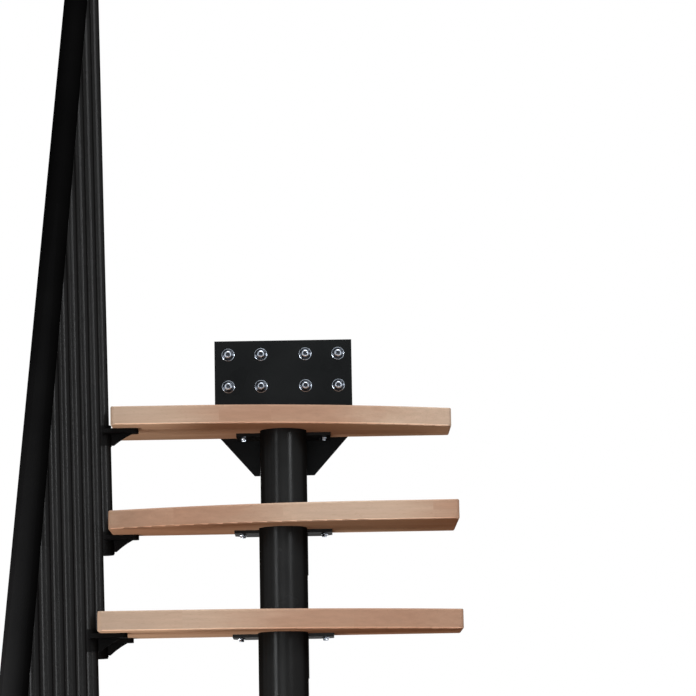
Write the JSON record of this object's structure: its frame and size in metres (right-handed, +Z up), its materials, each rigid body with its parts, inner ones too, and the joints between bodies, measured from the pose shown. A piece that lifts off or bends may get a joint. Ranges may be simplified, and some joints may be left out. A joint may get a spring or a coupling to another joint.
{
  "type": "space-saving staircase",
  "caption": "Straight space-saving stair: alternating beech treads on a stepped column of black steel tubes, with a handrail on balusters along one side.",
  "frame": {"origin": "centre of the floor plate's underside, below the axis of the lowest tube", "axes": "+Z up, +Y the way up the flight, +X to the climber's right; the railing is at -X"},
  "size_m": [0.7146, 1.7453, 3.472],
  "materials": {
    "beech": "satin lacquered beech",
    "black_coat": "satin black powder coat",
    "grey_coat": "satin dark grey powder coat",
    "rail_black": "satin black plastic sleeve",
    "moulded_black": "moulded black plastic"
  },
  "bodies": {
    "root": {"floor_plate": "black_coat", "wall_plate": "black_coat", "handrail": "rail_black", "handrail_end_caps": "moulded_black", "handrail_saddles": "moulded_black", "front_baluster_brackets": "moulded_black", "rear_baluster_brackets": "moulded_black", "baluster_sleeves": "grey_coat", "baluster_foot": "moulded_black", "column_01": "black_coat", "column_02": "black_coat", "column_03": "black_coat", "column_04": "black_coat", "column_05": "black_coat", "column_06": "black_coat", "column_07": "black_coat", "column_08": "black_coat", "column_09": "black_coat", "column_10": "black_coat", "column_11": "black_coat", "tread_01": "beech", "tread_02": "beech", "tread_03": "beech", "tread_04": "beech", "tread_05": "beech", "tread_06": "beech", "tread_07": "beech", "tread_08": "beech", "tread_09": "beech", "tread_10": "beech", "tread_11": "beech", "baluster_01": "grey_coat", "baluster_02": "grey_coat", "baluster_03": "grey_coat", "baluster_04": "grey_coat", "baluster_05": "grey_coat", "baluster_06": "grey_coat", "baluster_07": "grey_coat", "baluster_08": "grey_coat", "baluster_09": "grey_coat", "baluster_10": "grey_coat", "baluster_11": "grey_coat"}
  },
  "joints": []
}
